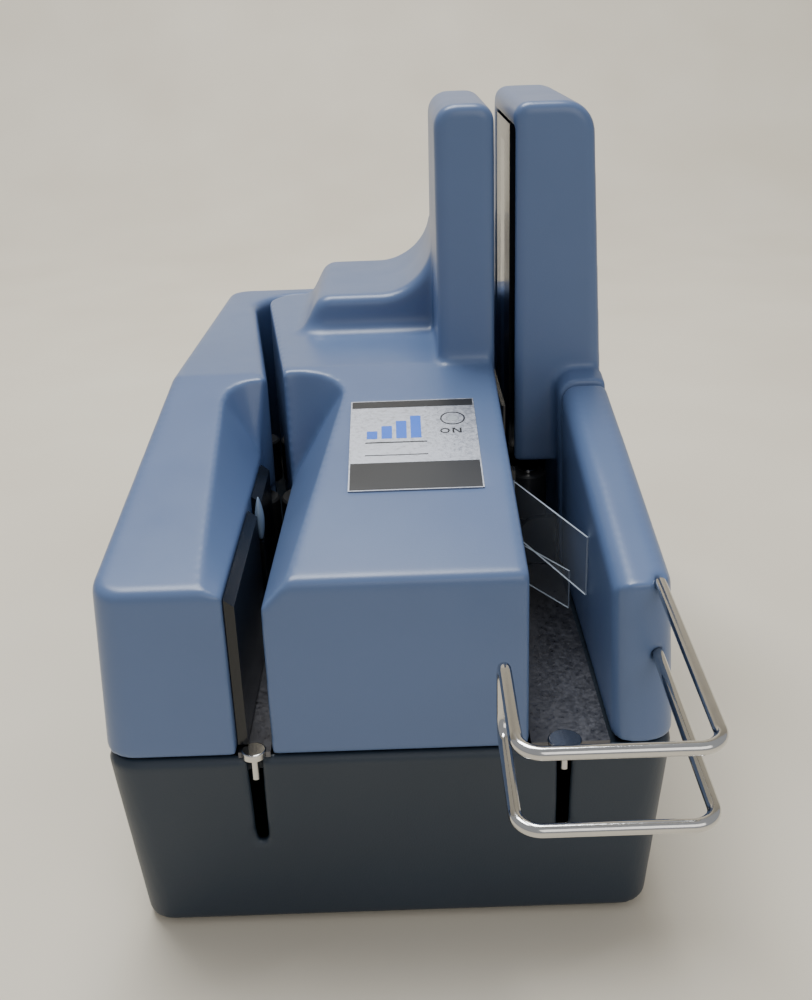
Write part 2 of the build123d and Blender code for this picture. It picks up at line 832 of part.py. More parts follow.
def pocket_ridge(inset):
    """The pocket wall's long body: rounded ridge, climbing to the rear, before it is cut to length."""
    left = pocket_inner_x - pocket_lean + inset
    right = side_right(pocket_nose_z) - inset
    section = rounded_polygon([
        (pocket_inner_x + inset, -ridge_depth),
        (left, 0, ridge_radius - inset),
        (right, 0, ridge_radius - inset),
        (case_width / 2 - inset + 2, -ridge_depth),
    ])
    high = pocket_nose_z - pocket_nose_y * tan(radians(slope)) - inset
    return Pos(0, 0, high) * Rot(slope, 0, 0) * along_y(section, -30, 150)


def nose_section(z, inset):
    drop = pocket_nose_z - z
    left = pocket_inner_x - pocket_lean + inset + drop * pocket_lean / ridge_depth - 0.05
    front = front_face(z) + inset - 0.01
    corners = [(left, front, nose_corner - inset), (100, front), (100, case_length), (left, case_length)]
    return Pos(0, 0, z) * rounded_polygon(corners)


def pocket_nose(inset):
    """The space behind the wall's front, with a rounded inner corner."""
    return loft([nose_section(z, inset) for z in (cover_z - 2, pocket_nose_z + 30)], ruled=True)


def pocket_wall_outside(inset):
    low = cover_z if inset == 0 else cover_z - 1
    body = block(pocket_inner_x - 5, 100, -20, pocket_wall_back_y - inset, low, top_of_everything)
    return body & pocket_ridge(inset) & case_envelope(inset) & pocket_nose(inset)


def wall_posts():
    return [(pocket_inner_x + pocket_wall_width / 2, y) for y in (16.0, 82.0)]


def pocket_wall():
    outside = pocket_wall_outside(0)
    shell = outside - pocket_wall_outside(wall)
    for x, y in wall_posts():
        post = rod(x, y, post_radius, deck_top, top_of_everything)
        shell += post & (outside + block(40, 100, 0, case_length, deck_top, cover_z + 1))
        shell -= rod(x, y, screw_radius, deck_top - 1, deck_top + 12)
    for z in (rack_z(rack_upper_z), rack_z(rack_lower_z)):
        shell -= wire_hole(z)
    return shell


def right_rounded():
    body = right_outside(0)
    front = body.faces().sort_by_distance(Vector(55, tower_front_y, 150))[0]
    body = fillet([e for e in front.edges() if e.center().Z > cover_z + 10], top_radius)

    def rim(p):
        return p.Z < right_flat_z + 1 and p.Y > tower_front_y + right_tower_depth + right_back_lean + 1

    return round_tops(body, rim, right_top_radius)


def right_cover():
    outside = right_rounded()
    shell = outside - right_outside(wall)
    stub_y = pocket_wall_back_y + seam
    stub = block(pocket_inner_x - 6, 100, stub_y, tower_front_y + 0.2, cover_z, top_of_everything)
    stub = stub & pocket_ridge(-collar) & case_envelope(0)
    hollow = pocket_ridge(wall) & block(0, 100, stub_y + wall, tower_front_y + wall + 1, 0, top_of_everything)
    shell = shell + stub - (hollow & case_envelope(wall))
    for x, y in right_posts():
        shell += rod(x, y, post_radius, frame_top, top_of_everything) & outside
        shell -= rod(x, y, screw_radius, frame_top - 1, frame_top + 12)
    for boss in knuckles(hinge_x):
        shell += boss
    shell -= rod(hinge_x, hinge_y, pin_radius + fit, cover_z - 1, hinge_top + 1)
    shell -= window(idlers["rear"], idler_radius)
    shell -= block(right_slot_x - 1, recess_right_x, tower_front_y - 1, tower_front_y + wall + 1,
                   cover_z - 1, recess_top_z)
    track_side = (right_slot_x - 1, right_slot_x + wall + 1)
    shell -= block(*track_side, tower_front_y - 1, liner_span()[0], cover_z - 1, recess_top_z)
    return shell - block(*track_side, tower_front_y + wall, liner_span()[1], cover_z - 1, liner_top + 0.5)


def liner_span():
    return (tower_front_y + 18, tower_front_y + right_tower_depth - wall - 2)


def right_liner():
    low = frame_top + 0.2
    y0, y1 = liner_span()
    x0 = right_slot_x + liner_inset
    plate = block(x0, x0 + liner_thickness, y0, y1 - side_gap, low, liner_top)
    half = camera_depth / 2 + 0.1
    return plate - block(x0 - 1, x0 + 3, rear_camera_y - half, rear_camera_y + half, cover_z, camera_top)


def right_frame():
    return frame_plate(right_outside, (idlers["rear"], idlers["exit"]), right_posts(), magnet_xy[1], hinge_x)


# ---------------------------------------------------------------- wire rack
def rack_z(front_z):
    """Height of an upper or lower arm where it enters the pocket wall."""
    return front_z - rack_front_y * tan(radians(rack_rise))


def wire_hole(z):
    """Bore for a wire's end, wider at its mouth."""
    bore = Cylinder(wire_radius, 12) + Pos(0, 0, 2.4) * Cylinder(wire_radius + 0.7, 10)
    return Pos(rack_right_x, 0, z) * Rot(90 + rack_rise, 0, 0) * bore


def wire_rack():
    def height(front_z, y):
        return front_z + (y - rack_front_y) * tan(radians(rack_rise))

    end_y = wall + 1.5
    points = [
        (rack_right_x, end_y, height(rack_upper_z, end_y)),
        (rack_right_x, rack_front_y, rack_upper_z),
        (rack_left_x, rack_front_y, rack_upper_z),
        (rack_left_x, rack_left_back_y, height(rack_upper_z, rack_left_back_y)),
        (rack_left_x, rack_left_back_y, height(rack_lower_z, rack_left_back_y)),
        (rack_left_x, rack_front_y, rack_lower_z),
        (rack_right_x, rack_front_y, rack_lower_z),
        (rack_right_x, end_y, height(rack_lower_z, end_y)),
    ]
    path = FilletPolyline(*points, radius=wire_bend)
    ring = Plane(origin=path @ 0, z_dir=path % 0) * Circle(wire_radius)
    return sweep(ring, path=path)


# ---------------------------------------------------------------- exit guides
guide_x = (tower_right_x + 0.2, tower_right_x + 1.3)
guide_y = (86.0, 164.0)
guide_top = 112.0


def inner_guide():
    plate = block(*guide_x, *guide_y, deck_top, guide_top)
    plate = soften(plate, [(guide_x[0], guide_y[0], 80)], 0.6)
    plate -= window(exit_drive_xy, roller_radius)
    half = camera_depth / 2 + 0.4
    across = (guide_x[0] - 1, guide_x[1] + 1)
    return plate - block(*across, camera_y - half, camera_y + half, camera_bottom, guide_top + 1)


cheek_x = (right_slot_x + 1.5, pocket_inner_x - collar - 1.2)
cheek_corner = 6.0
cheek_y = (96.6, 99.1)
cheek_top = 71.0


def exit_cheek():
    outline = rounded_polygon([
        (cheek_x[0], deck_top), (cheek_x[0], cheek_top, cheek_corner), (cheek_x[1], cheek_top), (cheek_x[1], deck_top)])
    return along_y(outline, *cheek_y)


upper_flap_root = (37.4, 84.0)
upper_flap_tip = (pocket_inner_x - 1.4, 42.0)
upper_flap_z = (72.6, 89.7)
lower_flap_root = (37.4, 80.5)
lower_flap_tip = (pocket_inner_x - 3.5, 58.0)
lower_flap_z = (60.0, 71.8)
film = 0.5


hinge_wire = 0.5
roll_radius = 1.2


def film_flap(root, tip, heights):
    line = trace(Line(root, tip), film)
    sheet = slab(line, *heights) + rod(*root, roll_radius, *heights)
    return sheet - rod(*root, hinge_wire + fit, heights[0] - 1, heights[1] + 1)


def flap_bracket():
    """A strip in front of the inner guide with a hinge wire for each flap's rolled root."""
    x0, x1 = guide_x[0] - 0.2, upper_flap_root[0] + roll_radius
    y0, y1 = lower_flap_root[1] - 1.6, guide_y[0]
    foot_top = lower_flap_z[0] - side_gap
    head_low = upper_flap_z[1] + side_gap
    body = block(x0, x1, y0, y1, deck_top, foot_top)
    body += block(x0, x1, upper_flap_root[1] - 1.6, y1, head_low, head_low + 3)
    body += block(x0, upper_flap_root[0] - roll_radius - 0.2, y0, y1, foot_top, head_low + 3)
    body += rod(*upper_flap_root, hinge_wire, foot_top, head_low)
    return body + rod(*lower_flap_root, hinge_wire, foot_top, lower_flap_z[1] + 0.1)


# ---------------------------------------------------------------- drive
def bush(xy):
    tube = rod(*xy, bush_radius, bush_bottom, deck_top) + rod(*xy, bush_flange, deck_top, deck_top + 1.5)
    return tube - rod(*xy, shaft_radius + fit, bush_bottom - 1, deck_top + 3)


def bushes():
    return Part() + [bush(xy) for xy in shaft_places().values()]


def shaft(xy):
    return rod(*xy, shaft_radius, pulley_bottom, roller_z + roller_height + 1)


def tyre(xy, radius):
    wheel = rod(*xy, radius, roller_z, roller_z + roller_height)
    wheel = chamfer(wheel.edges().filter_by(GeomType.CIRCLE), 0.6)
    return wheel - rod(*xy, shaft_radius, roller_z - 1, roller_z + roller_height + 1)


def pulley(xy):
    """Plain drum between two flanges, pressed on its shaft."""
    drum = rod(*xy, pulley_radius, pulley_bottom, pulley_bottom + belt_width + 2.6)
    for low in (pulley_bottom, pulley_bottom + belt_width + 1.6):
        drum += rod(*xy, pulley_flange, low, low + 1)
    return drum - rod(*xy, shaft_radius, pulley_bottom - 1, pulley_bottom + belt_width + 4)


def belt():
    """One loop round the motor pulley and the four shaft pulleys."""
    centres = [motor_xy, exit_drive_xy, rear_drive_xy, left_drive_xy, feed_xy]

    def hull(radius):
        drums = Sketch()
        for x, y in centres:
            drums += Pos(x, y) * Circle(radius)
        return make_hull(drums.edges())

    inner = pulley_radius + 0.1
    low = pulley_bottom + 1.3
    return slab(hull(inner + belt_thickness) - hull(inner), low, low + belt_width)


def motor_screw_places():
    s = motor_screw_offset
    return [(motor_xy[0] + i * s, motor_xy[1] + j * s) for i in (-1, 1) for j in (-1, 1)]


def motor():
    plan = Pos(*motor_xy) * RectangleRounded(motor_side, motor_side, 4)
    body = slab(plan, deck_top, deck_top + motor_height)
    body += rod(*motor_xy, motor_boss_radius, deck_top - 2, deck_top)
    body -= rod(*motor_xy, shaft_radius + fit, deck_top - 3, deck_top + 20)
    for x, y in motor_screw_places():
        body -= rod(x, y, screw_radius, deck_top - 1, deck_top + 5)
    return body


def motor_shaft():
    return rod(*motor_xy, shaft_radius, pulley_bottom, deck_top + 18)


# ---------------------------------------------------------------- reading and printing
camera_thickness = 10.0
glass_thickness = 1.0
front_glass_bottom = 63.5
head_y = (118.0, 138.0)
head_reader_y = (128.5, 137.5)
head_top = 72.0


def camera_span(y):
    return (y - camera_depth / 2, y + camera_depth / 2)


def front_camera():
    x1 = tower_right_x - glass_thickness - 0.2
    return block(x1 - camera_thickness, x1, *camera_span(camera_y), deck_top, camera_top)


def front_glass():
    x1 = tower_right_x - 0.2
    return block(x1 - glass_thickness, x1, *camera_span(camera_y), front_glass_bottom, camera_top)


def rear_camera():
    x0 = right_slot_x + liner_inset + glass_thickness
    return block(x0, x0 + camera_thickness, *camera_span(rear_camera_y), frame_top, camera_top)


def rear_glass():
    x0 = right_slot_x + liner_inset
    return block(x0, x0 + glass_thickness, *camera_span(rear_camera_y), camera_bottom, camera_top)


def head_bracket():
    return block(-30, -16, head_y[0], head_y[1], deck_top, deck_top + 8)


def magnetic_head():
    y0, y1 = head_reader_y
    face_x = track_x(y0)
    body = block(face_x, -18, y0, y1, deck_top + 8, head_top)
    return soften(body, [(face_x, y0, 65), (face_x, y1, 65)], 1.5)


cartridge_x = (-12.0, 8.0)
cartridge_y = (156.0, 188.0)
cartridge_z = (80.0, 125.0)


def ink_cradle():
    x0, x1 = cartridge_x
    y0, y1 = cartridge_y
    t = 1.8
    g = 0.15
    body = block(x0 - t, x1 + t, y0 - t, y1 + t, deck_top, cartridge_z[0] + 16)
    body -= block(x0 - g, x1 + g, y0 - g, y1 + g, cartridge_z[0], 200)
    return body - block(x0, x1, y0, y1, deck_top + 3, cartridge_z[0] - 3)


def ink_cartridge():
    return block(*cartridge_x, *cartridge_y, *cartridge_z)


# ---------------------------------------------------------------- electronics
def main_board():
    board = block(*board_x, *board_y, board_bottom, board_bottom + board_thickness)
    for x, y in board_posts():
        board -= rod(x, y, 1.2, 0, 20)
    return board


def inlet(x, size, bore):
    low = board_bottom + board_thickness
    y0 = port_face_y - size[1]
    body = block(x - size[0] / 2, x + size[0] / 2, y0, port_face_y, low, low + size[2])
    return body - bore


def power_jack():
    z = board_bottom + board_thickness + jack_size[2] / 2
    place = Pos(jack_x, port_face_y - 4, z) * Rot(90, 0, 0)
    ring = place * Cylinder(3.2, 10)
    pin = Pos(jack_x, port_face_y - 5, z) * Rot(90, 0, 0) * Cylinder(1.0, 8)
    return inlet(jack_x, jack_size, ring) + pin


def data_socket():
    z = board_bottom + board_thickness + socket_size[2] / 2
    hole = block(socket_x - 4.3, socket_x + 4.3, port_face_y - 9, port_face_y + 1, z - 4, z + 4)
    tongue = block(socket_x - 2.8, socket_x + 2.8, port_face_y - 10, port_face_y - 1.5, z - 1.6, z + 1.6)
    return inlet(socket_x, socket_size, hole) + tongue


def magnets():
    return Part() + [rod(x, y, magnet_radius, deck_top - 1, lip_top) for x, y in magnet_xy]


def hinge_pin(xy):
    head = rod(*xy, pin_radius + 0.9, hinge_top + 0.3, hinge_top + 1.8)
    return rod(*xy, pin_radius, deck_top - deck_thickness - 6, hinge_top + 0.3) + head


# ---------------------------------------------------------------- every node
deck_low = deck_top - deck_thickness
pin_top = roller_z + roller_height + side_gap
pieces = {
    "base_tub": base_tub(),
    "rubber_feet": rubber_feet(),
    "deck_plate": deck(),
    "centre_cover": centre_cover(),
    "chassis_screws": screws(deck_posts(), foot_height, deck_low + 1.5)
    + screws(cover_posts() + wall_posts(), deck_low - screw_head_height, deck_top + 11)
    + screws(motor_screw_places(), deck_low - screw_head_height, deck_top + 5),
    "label_plate": label_plate(),
    "light_pipe": light_pipe(),
    "hopper_floor": floor_plate(left_slot_x + 0.5, centre_left_x - 0.4, track_neck_y[0] - 1, studs[0]),
    "pocket_floor": pocket_floor(),
    "front_studs": front_studs(),
    "pocket_wall": pocket_wall(),
    "wire_rack": wire_rack(),
    "inner_guide": inner_guide(),
    "exit_cheek": exit_cheek(),
    "flap_bracket": flap_bracket(),
    "upper_flap": film_flap(upper_flap_root, upper_flap_tip, upper_flap_z),
    "lower_flap": film_flap(lower_flap_root, lower_flap_tip, lower_flap_z),
    "left_cover": left_cover(),
    "left_liner": left_liner(),
    "left_frame": left_frame(),
    "left_screws": screws(left_posts(), frame_head_z, frame_top + 11),
    "left_pins": wheel_pin(idlers["left"], pin_top) + wheel_pin(separator_xy, pin_top)
    + wheel_pin(pusher_xy, pusher_arm_z[1] + 8.3),
    "left_idler": idler(idlers["left"], idler_radius),
    "separator_roller": idler(separator_xy, separator_radius),
    "pusher_arm": pusher(),
    "pusher_tip": pusher_tip(),
    "pusher_spring": spring_coil(pusher_xy, pin_radius + 2.9, 0.4, pusher_arm_z[1] + 1.0, 4, 1.5),
    "right_cover": right_cover(),
    "right_liner": right_liner(),
    "right_frame": right_frame(),
    "right_screws": screws(right_posts(), frame_head_z, frame_top + 11),
    "right_pins": wheel_pin(idlers["rear"], pin_top) + wheel_pin(idlers["exit"], pin_top),
    "rear_idler": idler(idlers["rear"], idler_radius),
    "exit_idler": idler(idlers["exit"], idler_radius),
    "rear_camera": rear_camera(),
    "rear_camera_glass": rear_glass(),
    "front_camera": front_camera(),
    "front_camera_glass": front_glass(),
    "hinge_pins": Part() + [hinge_pin(xy) for xy in pin_places().values()],
    "shaft_bushes": bushes(),
    "drive_belt": belt(),
    "motor_body": motor(),
    "motor_shaft": motor_shaft() + pulley(motor_xy),
    "head_bracket": head_bracket(),
    "magnetic_head": magnetic_head(),
    "ink_cradle": ink_cradle(),
    "ink_cartridge": ink_cartridge(),
    "main_board": main_board(),
    "power_jack": power_jack(),
    "data_socket": data_socket(),
    "latch_magnets": magnets(),
}
for wheel_name, place in shaft_places().items():
    size = feed_radius if wheel_name == "feed" else roller_radius
    pieces[wheel_name + "_shaft"] = shaft(place) + pulley(place)
    pieces[wheel_name + "_roller"] = tyre(place, size)

for name, solid in pieces.items():
    export_step(Pos(0, -mid_y, 0) * solid, f"parts/{name}.step")
    print(name, len(solid.solids()), round(solid.volume, 1))
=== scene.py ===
import json
from math import cos, pi, radians, sin

import bmesh
import bpy
from mathutils import Matrix, Vector


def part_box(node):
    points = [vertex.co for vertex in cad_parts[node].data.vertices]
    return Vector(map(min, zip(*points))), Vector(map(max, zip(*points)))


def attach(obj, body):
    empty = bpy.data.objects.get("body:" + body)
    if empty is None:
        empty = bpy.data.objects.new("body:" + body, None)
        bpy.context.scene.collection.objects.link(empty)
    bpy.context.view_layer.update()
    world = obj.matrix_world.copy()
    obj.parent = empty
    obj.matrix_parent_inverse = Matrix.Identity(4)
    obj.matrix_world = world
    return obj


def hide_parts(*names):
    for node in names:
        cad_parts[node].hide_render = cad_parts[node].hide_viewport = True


# A cheque scanner. Metres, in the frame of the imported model. Places are often given in the case's own
# millimetres: x = 0 on its centre line, y = 0 at its front face, z = 0 on the desk.

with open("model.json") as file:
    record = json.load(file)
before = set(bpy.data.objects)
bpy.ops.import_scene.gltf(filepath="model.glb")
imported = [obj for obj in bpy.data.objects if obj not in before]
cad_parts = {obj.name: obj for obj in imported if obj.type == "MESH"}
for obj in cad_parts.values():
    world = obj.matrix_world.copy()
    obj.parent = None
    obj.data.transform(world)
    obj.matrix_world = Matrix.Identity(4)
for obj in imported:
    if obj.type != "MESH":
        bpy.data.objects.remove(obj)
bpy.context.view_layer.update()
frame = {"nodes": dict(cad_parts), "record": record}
nodes = frame["nodes"]
MM = 0.001
case_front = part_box("base_tub")[0][1]


def case(x, y, z):
    """A point given in the case's millimetres, in the frame's metres."""
    return Vector((x * MM, case_front + y * MM, z * MM))


# ---------------------------------------------------------------- camera
CAMERA_PLACE = (0.006607, -0.316455, 0.22081)
CAMERA_DOWN = 0.406451          # radians below the horizon
CAMERA_TURN = -0.001477         # to the left of straight ahead
CAMERA_ROLL = -0.035179
SENSOR_HEIGHT = 36.0
LENS = 41.74
NEAREST = 0.01


def make_camera():
    """The photo's own camera, which was found from the straight edges of the case."""
    level = cos(CAMERA_DOWN)
    forward = Vector((sin(CAMERA_TURN) * level, cos(CAMERA_TURN) * level, -sin(CAMERA_DOWN)))
    right = Vector((cos(CAMERA_TURN), -sin(CAMERA_TURN), 0))
    up = right.cross(forward)
    rolled_right = cos(CAMERA_ROLL) * right + sin(CAMERA_ROLL) * up
    rolled_up = -sin(CAMERA_ROLL) * right + cos(CAMERA_ROLL) * up
    data = bpy.data.cameras.new("camera")
    data.sensor_fit = "VERTICAL"
    data.sensor_height = SENSOR_HEIGHT
    data.lens = LENS
    data.clip_start = NEAREST
    camera = bpy.data.objects.new("camera", data)
    turn = Matrix((rolled_right, rolled_up, -forward)).transposed().to_4x4()
    camera.matrix_world = Matrix.Translation(CAMERA_PLACE) @ turn
    bpy.context.scene.collection.objects.link(camera)
    bpy.context.scene.camera = camera


# ---------------------------------------------------------------- materials
def shader(name):
    """A new material with one Principled shader; returns the material, its tree and the shader."""
    material = bpy.data.materials.new(name)
    material.use_nodes = True
    tree = material.node_tree
    tree.nodes.clear()
    surface = tree.nodes.new("ShaderNodeBsdfPrincipled")
    out = tree.nodes.new("ShaderNodeOutputMaterial")
    tree.links.new(surface.outputs["BSDF"], out.inputs["Surface"])
    return material, tree, surface


def noise(tree, scale, detail=2.0, roughness=0.5, stretch=None):
    """Noise in the object's own coordinates, in features per metre; stretch squeezes it along the axes."""
    where = tree.nodes.new("ShaderNodeTexCoord")
    texture = tree.nodes.new("ShaderNodeTexNoise")
    texture.inputs["Scale"].default_value = scale
    texture.inputs["Detail"].default_value = detail
    texture.inputs["Roughness"].default_value = roughness
    place = where.outputs["Object"]
    if stretch:
        mapping = tree.nodes.new("ShaderNodeMapping")
        mapping.inputs["Scale"].default_value = stretch
        tree.links.new(place, mapping.inputs["Vector"])
        place = mapping.outputs["Vector"]
    tree.links.new(place, texture.inputs["Vector"])
    return texture.outputs["Fac"]


def ramp(tree, value, stops):
    """A value mapped through (position, colour) stops."""
    node = tree.nodes.new("ShaderNodeValToRGB")
    while len(node.color_ramp.elements) > 1:
        node.color_ramp.elements.remove(node.color_ramp.elements[0])
    first, *rest = stops
    node.color_ramp.elements[0].position = first[0]
    node.color_ramp.elements[0].color = (*first[1], 1)
    for position, colour in rest:
        node.color_ramp.elements.new(position).color = (*colour, 1)
    tree.links.new(value, node.inputs["Fac"])
    return node.outputs["Color"]


def bump(tree, height, distance, strength, below=None):
    """A normal that is tilted by a height, on top of another bump if there is one."""
    node = tree.nodes.new("ShaderNodeBump")
    node.inputs["Distance"].default_value = distance
    node.inputs["Strength"].default_value = strength
    tree.links.new(height, node.inputs["Height"])
    if below:
        tree.links.new(below, node.inputs["Normal"])
    return node.outputs["Normal"]


def even(value):
    """One value as a grey, for a ramp that sets a roughness."""
    return (value,) * 3


def scaled(colour, factor):
    return tuple(c * factor for c in colour)


def moulded(name, colour, roughness, grain, depth, mottle=0.05):
    """Moulded plastic: a fine eroded grain, slightly uneven colour and gloss."""
    material, tree, surface = shader(name)
    patches = noise(tree, 22, 3.0, 0.55)
    shades = [(0.3, scaled(colour, 1 - mottle)), (0.7, scaled(colour, 1 + mottle))]
    tree.links.new(ramp(tree, patches, shades), surface.inputs["Base Color"])
    gloss_stops = [(0.25, even(roughness * 0.92)), (0.75, even(roughness * 1.1))]
    gloss = ramp(tree, noise(tree, 60, 4.0), gloss_stops)
    tree.links.new(gloss, surface.inputs["Roughness"])
    fine = bump(tree, noise(tree, grain, 2.0), depth, 0.5)
    tree.links.new(bump(tree, noise(tree, 45, 1.0), 0.0002, 0.12, fine), surface.inputs["Normal"])
    return material


def metal(name, colour, roughness, stretch, wear):
    """Metal with lines drawn along one axis and dull patches."""
    material, tree, surface = shader(name)
    surface.inputs["Metallic"].default_value = 1.0
    patches = noise(tree, 70, 5.0, 0.6)
    shades = [(0.3, scaled(colour, 1 - wear)), (0.62, colour), (0.8, scaled(colour, 1 + wear * 0.5))]
    tree.links.new(ramp(tree, patches, shades), surface.inputs["Base Color"])
    lines = noise(tree, 900, 3.0, 0.6, stretch)
    gloss = ramp(tree, lines, [(0.3, even(roughness * 0.75)), (0.7, even(roughness * 1.25))])
    tree.links.new(gloss, surface.inputs["Roughness"])
    tree.links.new(bump(tree, lines, 0.00004, 0.3), surface.inputs["Normal"])
    return material


def clear(name, colour, roughness, alpha):
    """Glass or film: a tint that is mostly see-through, with an uneven gloss."""
    material, tree, surface = shader(name)
    surface.inputs["Base Color"].default_value = (*colour, 1)
    surface.inputs["Alpha"].default_value = alpha
    surface.inputs["IOR"].default_value = CLEAR_IOR
    gloss = ramp(tree, noise(tree, 120, 3.0), [(0.3, even(roughness)), (0.7, even(roughness * 2.0))])
    tree.links.new(gloss, surface.inputs["Roughness"])
    return material


COVER_BLUE = (0.102, 0.158, 0.300)
BASE_NAVY = (0.020, 0.032, 0.050)
CLEAR_IOR = 1.5
LABEL_BLUE = (0.03, 0.16, 0.75)
LABEL_BLACK = (0.010, 0.010, 0.012)


def make_materials():
    """Every material by its slot's name, and those of the pieces that are made here."""
    return {
        "cover_plastic": moulded("cover_plastic", COVER_BLUE, 0.33, 2600, 0.00005, 0.035),
        "base_plastic": moulded("base_plastic", BASE_NAVY, 0.42, 2200, 0.00008),
        "dark_plastic": moulded("dark_plastic", (0.006, 0.0075, 0.010), 0.2, 3000, 0.00002),
        "floor_steel": metal("floor_steel", (0.15, 0.15, 0.165), 0.36, (1, 1, 1), 0.25),
        "bright_steel": metal("bright_steel", (0.62, 0.61, 0.59), 0.12, (1, 1, 0.05), 0.06),
        "label_metal": metal("label_metal", (0.42, 0.43, 0.47), 0.42, (1, 1, 1), 0.04),
        "clear_film": clear("clear_film", (0.80, 0.84, 0.86), 0.08, 0.07),
        "camera_glass": clear("camera_glass", (0.02, 0.022, 0.026), 0.06, 0.9),
        "pale_tip": moulded("pale_tip", (0.42, 0.45, 0.48), 0.28, 3000, 0.00003),
        "roller_rubber": moulded("roller_rubber", (0.015, 0.015, 0.016), 0.6, 1800, 0.00012),
        "idler_plastic": moulded("idler_plastic", (0.03, 0.031, 0.034), 0.3, 3000, 0.00003),
        "bush_brass": metal("bush_brass", (0.62, 0.44, 0.18), 0.3, (1, 1, 0.05), 0.1),
        "motor_paint": moulded("motor_paint", (0.03, 0.03, 0.033), 0.4, 2500, 0.00005),
        "board_green": moulded("board_green", (0.02, 0.10, 0.045), 0.3, 1500, 0.00005),
        # painted highlight: a paler, less clear film for the flaps' thin faces
        "film_edge_highlight": clear("film_edge_highlight", (0.62, 0.70, 0.78), 0.2, 0.75),
        "label_print": moulded("label_print", LABEL_BLACK, 0.35, 4000, 0.00001),
        "label_blue": moulded("label_blue", LABEL_BLUE, 0.35, 4000, 0.00001),
        "leaf_plastic": moulded("leaf_plastic", (0.22, 0.29, 0.38), 0.3, 3000, 0.00003),
    }


NODE_SHARP = 28                     # degrees between two faces that stay a sharp edge
SHELL_SHARP = 50
LEAF_SHARP = 60


def dress(obj, material):
    obj.data.materials.clear()
    obj.data.materials.append(material)


def shade(obj, degrees=NODE_SHARP):
    """Smooth shading with edges kept sharp above this angle."""
    mesh = obj.data
    mesh.polygons.foreach_set("use_smooth", [True] * len(mesh.polygons))
    mesh.set_sharp_from_angle(angle=radians(degrees))


def dress_nodes(materials):
    """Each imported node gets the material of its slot."""
    for entry in frame["record"]["subparts"]:
        obj = nodes[entry["node"]]
        dress(obj, materials[entry["material_slot"]])
        shade(obj)


# ---------------------------------------------------------------- pieces
def as_mesh(grid, name):
    mesh = bpy.data.meshes.new(name)
    grid.to_mesh(mesh)
    grid.free()
    return mesh


def add_piece(name, mesh, body, material):
    """A new visible piece that rides on a body."""
    obj = bpy.data.objects.new(name, mesh)
    bpy.context.scene.collection.objects.link(obj)
    dress(obj, material)
    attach(obj, body)
    return obj


def modified(obj, kind, **settings):
    """Adds a modifier and applies it to the object's mesh."""
    modifier = obj.modifiers.new(kind.lower(), kind)
    for key, value in settings.items():
        setattr(modifier, key, value)
    view = bpy.context.evaluated_depsgraph_get()
    result = bpy.data.meshes.new_from_object(obj.evaluated_get(view))
    obj.modifiers.clear()
    old = obj.data
    obj.data = result
    bpy.data.meshes.remove(old)


SHELLS = {                          # body, voxel in millimetres, rounds of relaxing
    "centre_cover": ("root", 0.7, 16),
    "left_cover": ("left_wing", 0.7, 16),
    "right_cover": ("right_wing", 0.7, 14),
    "pocket_wall": ("root", 0.7, 10),
    "base_tub": ("root", 0.9, 3),
}
SHELL_FACES = 60000                 # triangles, at most
RELAX = 0.5


def soft_shell(node, material):
    """A moulded shell with every edge eased: the node's own form in small even faces, relaxed."""
    body, voxel, rounds = SHELLS[node]
    mesh = nodes[node].data.copy()
    obj = bpy.data.objects.new(node + "_shell", mesh)
    bpy.context.scene.collection.objects.link(obj)
    modified(obj, "REMESH", mode="VOXEL", voxel_size=voxel * MM)
    modified(obj, "SMOOTH", factor=RELAX, iterations=rounds)
    triangles = len(obj.data.polygons) * 2
    if triangles > SHELL_FACES:
        modified(obj, "DECIMATE", ratio=SHELL_FACES / triangles)
    dress(obj, material)
    shade(obj, SHELL_SHARP)
    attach(obj, body)
    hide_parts(node)


def soft_shells(materials):
    for node in SHELLS:
        slot = "base_plastic" if node == "base_tub" else "cover_plastic"
        soft_shell(node, materials[slot])


# ---------------------------------------------------------------- label
LABEL_CENTRE = (8.9, 59.9)          # on the sloped top, in case millimetres
LABEL_SIZE = (34.8, 45.8)
SLOPE = radians(11.1)
TOP_AT_FRONT = 99.4
LABEL_LIFT = 0.33                   # the printed layer over the plate's middle
PRINT_THICKNESS = 0.06
LABEL_MARGIN = 0.35                 # bare metal round the print
BAND_TOP, BAND_LOW = 3.6, 12.6      # heights of the dark bands
LINE_ENDS = (-13.2, 3.6)
LINE_EDGES = ((-0.1, 0.5), (-6.4, -6.0))
O_PLACE = (8.6, 5.4)
O_RADII = (1.35, 0.85)
N_START, N_WIDTH = 2.3, 2.0         # from the O's middle to the N, and across the N
LETTER = 2.6
UPRIGHT, SLANT = 0.55, 0.5          # line widths of the N
SLANT_INSET = 0.1
LIGHT_SPOT = (11.0, 12.0)
LIGHT_RADII = (3.5, 3.05)
BAR_START = (-12.8, 2.2)
BAR_WIDTH, BAR_STEP = 2.9, 4.0
BAR_HEIGHTS = (4.0, 6.6, 9.2, 11.8)


def on_label(u, v, lift=0.0):
    """A point of the label: u to the right and v up the slope from its middle."""
    y = LABEL_CENTRE[1] + v * cos(SLOPE) - lift * sin(SLOPE)
    z = TOP_AT_FRONT + LABEL_CENTRE[1] * sin(SLOPE) / cos(SLOPE) + v * sin(SLOPE) + lift * cos(SLOPE)
    return case(LABEL_CENTRE[0] + u, y, z)


